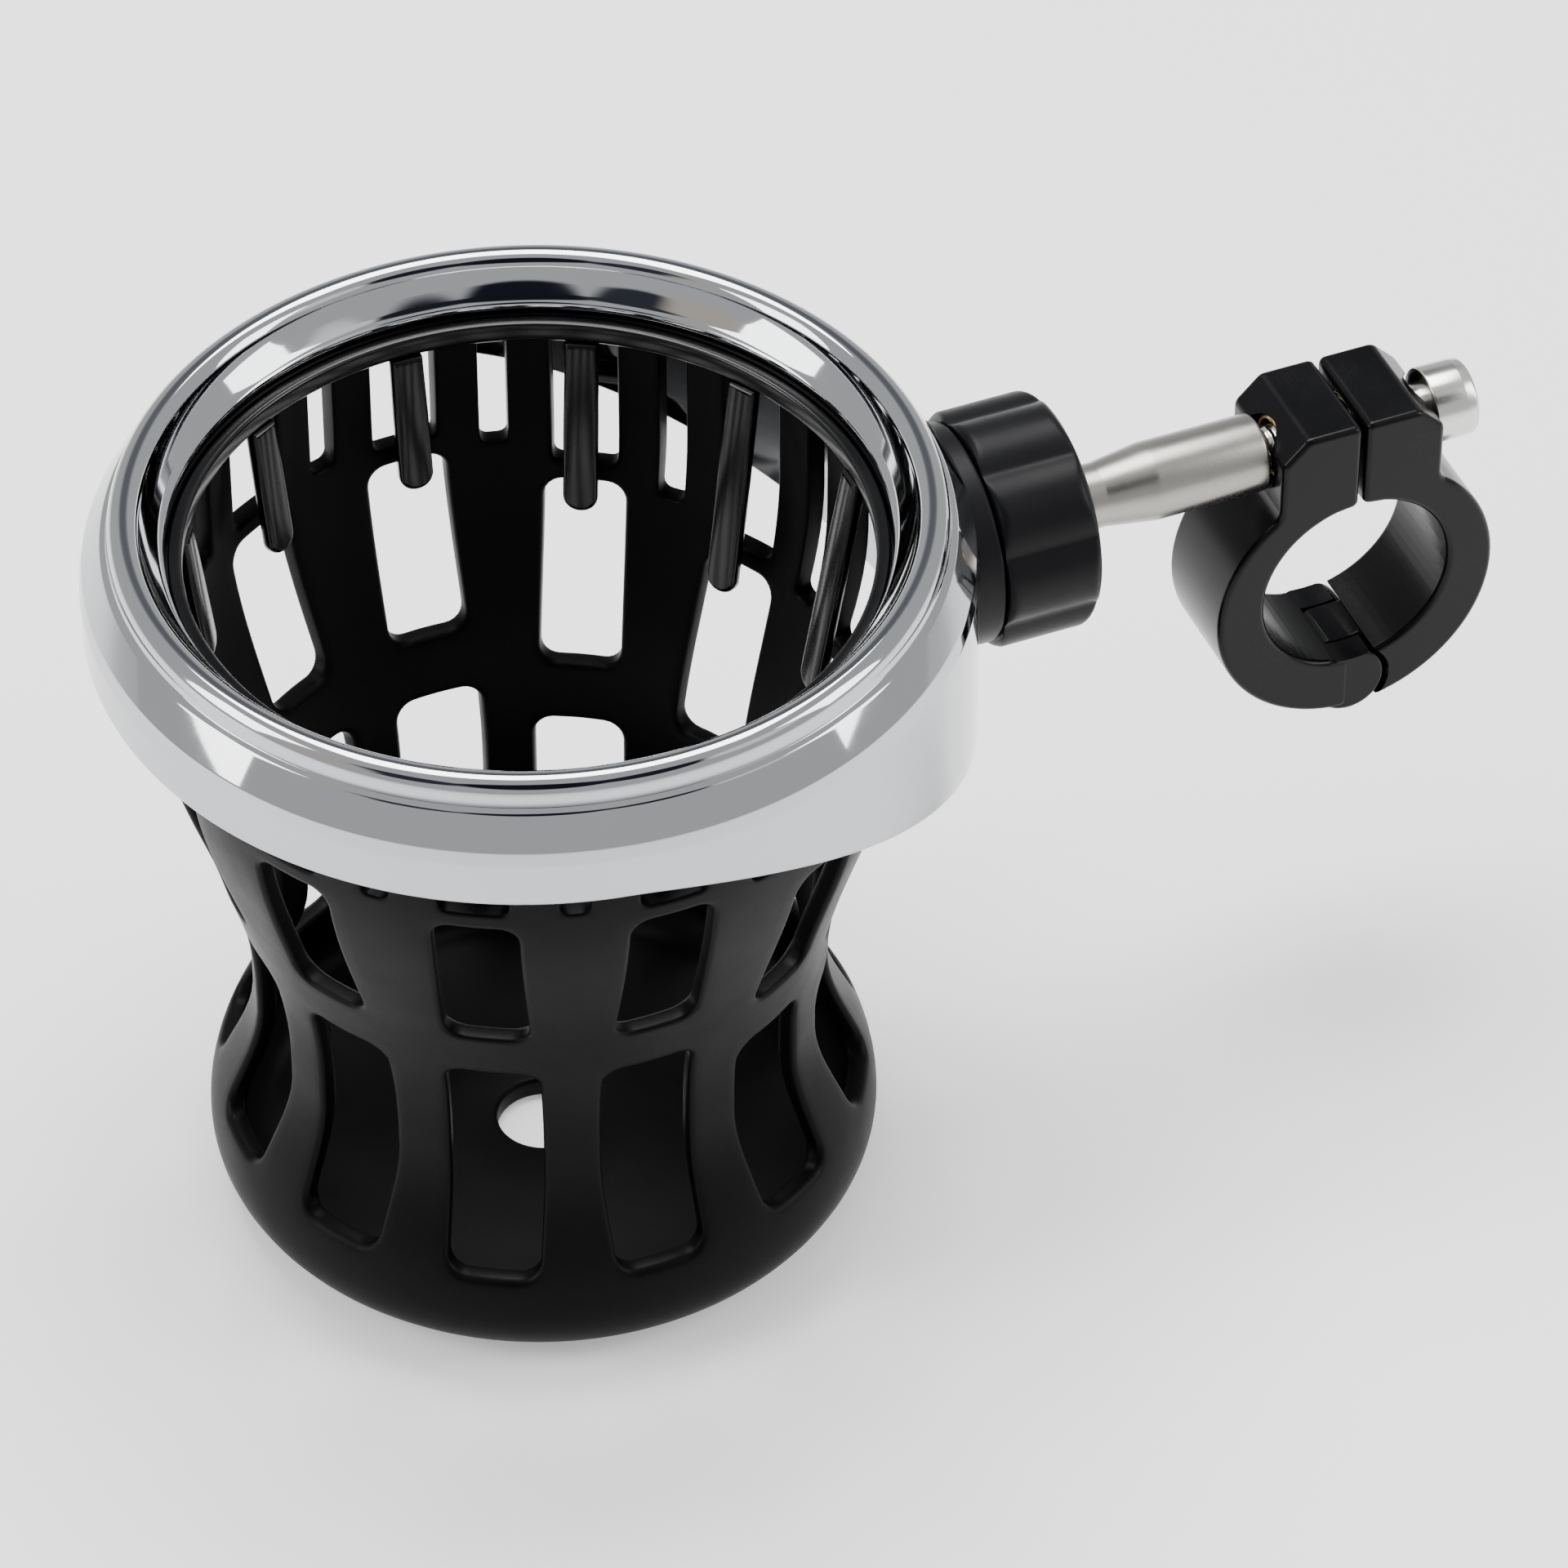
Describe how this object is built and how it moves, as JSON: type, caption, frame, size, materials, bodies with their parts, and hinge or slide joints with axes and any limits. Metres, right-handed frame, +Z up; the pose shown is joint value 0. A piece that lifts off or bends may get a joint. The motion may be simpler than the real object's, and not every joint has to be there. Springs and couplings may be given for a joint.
{
  "type": "clamp-on cup holder",
  "caption": "Slotted black basket with a chromed rim and inward grip fingers, held by a ball socket to a hinged clamp for a round bar.",
  "frame": {"origin": "middle of the whole footprint, on the plane the basket stands on", "axes": "+Z up the cup axis, +X out along the mount towards the bar clamp, +Y across, along the clamped bar"},
  "size_m": [0.1808, 0.108, 0.105],
  "materials": {
    "rim_chrome": "mirror chrome plate over a casting",
    "basket_plastic": "satin black moulded plastic",
    "grip_plastic": "glossy black elastomer",
    "knob_plastic": "black nylon, light sheen",
    "clamp_plastic": "black glass-filled nylon with soft gloss",
    "stud_nickel": "satin nickel plated steel",
    "screw_steel": "bright nickel plated steel",
    "brass": "turned brass",
    "acetal": "natural white acetal"
  },
  "bodies": {
    "holder": {"rim_ring": "rim_chrome", "basket": "basket_plastic", "grip_hoop": "grip_plastic", "socket_body": "knob_plastic", "rim_insert_1": "brass", "rim_insert_2": "brass", "rim_insert_3": "brass", "rim_insert_4": "brass", "rim_screw_1": "screw_steel", "rim_screw_2": "screw_steel", "rim_screw_3": "screw_steel", "rim_screw_4": "screw_steel", "socket_screw_1": "screw_steel", "socket_screw_2": "screw_steel"},
    "ball_seat": {"ball_seat": "acetal"},
    "ball_stud": {"ball_stud": "stud_nickel"},
    "compression_ring": {"compression_ring": "acetal"},
    "collar_nut": {"collar_nut": "knob_plastic"},
    "clamp_half_inner": {"clamp_half_inner": "clamp_plastic", "bushing_1": "brass"},
    "clamp_half_outer": {"clamp_half_outer": "clamp_plastic", "bushing_2": "brass"},
    "clamp_screw": {"clamp_screw": "screw_steel"},
    "grip_finger_01": {"grip_finger_01": "grip_plastic"},
    "grip_finger_02": {"grip_finger_02": "grip_plastic"},
    "grip_finger_03": {"grip_finger_03": "grip_plastic"},
    "grip_finger_04": {"grip_finger_04": "grip_plastic"},
    "grip_finger_05": {"grip_finger_05": "grip_plastic"},
    "grip_finger_06": {"grip_finger_06": "grip_plastic"},
    "grip_finger_07": {"grip_finger_07": "grip_plastic"},
    "grip_finger_08": {"grip_finger_08": "grip_plastic"},
    "grip_finger_09": {"grip_finger_09": "grip_plastic"},
    "grip_finger_10": {"grip_finger_10": "grip_plastic"},
    "grip_finger_11": {"grip_finger_11": "grip_plastic"},
    "grip_finger_12": {"grip_finger_12": "grip_plastic"}
  },
  "joints": [
    {"name": "grip_finger_01_flex", "type": "hinge", "parent": "holder", "child": "grip_finger_01", "pos_m": [0.0058, 0, 0.095], "axis": [0, -1, 0], "range_deg": [0, 4], "stiffness_Nm_per_rad": 0.03},
    {"name": "grip_finger_02_flex", "type": "hinge", "parent": "holder", "child": "grip_finger_02", "pos_m": [0.00015, 0.0211, 0.095], "axis": [0.5, -0.866, 0], "range_deg": [0, 4], "stiffness_Nm_per_rad": 0.03},
    {"name": "grip_finger_03_flex", "type": "hinge", "parent": "holder", "child": "grip_finger_03", "pos_m": [-0.0153, 0.03655, 0.095], "axis": [0.866, -0.5, 0], "range_deg": [0, 4], "stiffness_Nm_per_rad": 0.03},
    {"name": "grip_finger_04_flex", "type": "hinge", "parent": "holder", "child": "grip_finger_04", "pos_m": [-0.0364, 0.0422, 0.095], "axis": [1, 0, 0], "range_deg": [0, 4], "stiffness_Nm_per_rad": 0.03},
    {"name": "grip_finger_05_flex", "type": "hinge", "parent": "holder", "child": "grip_finger_05", "pos_m": [-0.0575, 0.03655, 0.095], "axis": [0.866, 0.5, 0], "range_deg": [0, 4], "stiffness_Nm_per_rad": 0.03},
    {"name": "grip_finger_06_flex", "type": "hinge", "parent": "holder", "child": "grip_finger_06", "pos_m": [-0.07295, 0.0211, 0.095], "axis": [0.5, 0.866, 0], "range_deg": [0, 4], "stiffness_Nm_per_rad": 0.03},
    {"name": "grip_finger_07_flex", "type": "hinge", "parent": "holder", "child": "grip_finger_07", "pos_m": [-0.0786, 0, 0.095], "axis": [0, 1, 0], "range_deg": [0, 4], "stiffness_Nm_per_rad": 0.03},
    {"name": "grip_finger_08_flex", "type": "hinge", "parent": "holder", "child": "grip_finger_08", "pos_m": [-0.07295, -0.0211, 0.095], "axis": [-0.5, 0.866, 0], "range_deg": [0, 4], "stiffness_Nm_per_rad": 0.03},
    {"name": "grip_finger_09_flex", "type": "hinge", "parent": "holder", "child": "grip_finger_09", "pos_m": [-0.0575, -0.03655, 0.095], "axis": [-0.866, 0.5, 0], "range_deg": [0, 4], "stiffness_Nm_per_rad": 0.03},
    {"name": "grip_finger_10_flex", "type": "hinge", "parent": "holder", "child": "grip_finger_10", "pos_m": [-0.0364, -0.0422, 0.095], "axis": [-1, 0, 0], "range_deg": [0, 4], "stiffness_Nm_per_rad": 0.03},
    {"name": "grip_finger_11_flex", "type": "hinge", "parent": "holder", "child": "grip_finger_11", "pos_m": [-0.0153, -0.03655, 0.095], "axis": [-0.866, -0.5, 0], "range_deg": [0, 4], "stiffness_Nm_per_rad": 0.03},
    {"name": "grip_finger_12_flex", "type": "hinge", "parent": "holder", "child": "grip_finger_12", "pos_m": [0.00015, -0.0211, 0.095], "axis": [-0.5, -0.866, 0], "range_deg": [0, 4], "stiffness_Nm_per_rad": 0.03},
    {"name": "socket_swivel", "type": "hinge", "parent": "holder", "child": "ball_seat", "pos_m": [0.028, 0, 0.0817], "axis": [1, 0, 0], "range_deg": [-180, 180]},
    {"name": "ball_tilt", "type": "hinge", "parent": "ball_seat", "child": "ball_stud", "pos_m": [0.028, 0, 0.0817], "axis": [0, 1, 0], "range_deg": [-25, 25]},
    {"name": "ring_travel", "type": "slide", "parent": "holder", "child": "compression_ring", "axis": [1, 0, 0], "range_m": [0, 0.0012]},
    {"name": "nut_turn", "type": "hinge", "parent": "compression_ring", "child": "collar_nut", "pos_m": [0.028, 0, 0.0817], "axis": [1, 0, 0], "range_deg": [0, 215]},
    {"name": "clamp_spin", "type": "hinge", "parent": "ball_stud", "child": "clamp_half_inner", "pos_m": [0.06, 0, 0.0817], "axis": [1, 0, 0], "range_deg": [-180, 180]},
    {"name": "screw_travel", "type": "slide", "parent": "clamp_half_inner", "child": "clamp_screw", "axis": [1, 0, 0], "range_m": [0, 0.002]},
    {"name": "clamp_open", "type": "hinge", "parent": "clamp_half_inner", "child": "clamp_half_outer", "pos_m": [0.0714, 0, 0.0457], "axis": [0, 1, 0], "range_deg": [0, 2.5]}
  ],
  "couplings": [
    {"joint": "ring_travel", "follows": "nut_turn", "m_per_rad": 0.00031831},
    {"joint": "clamp_open", "follows": "screw_travel", "rad_per_m": 21.8}
  ]
}
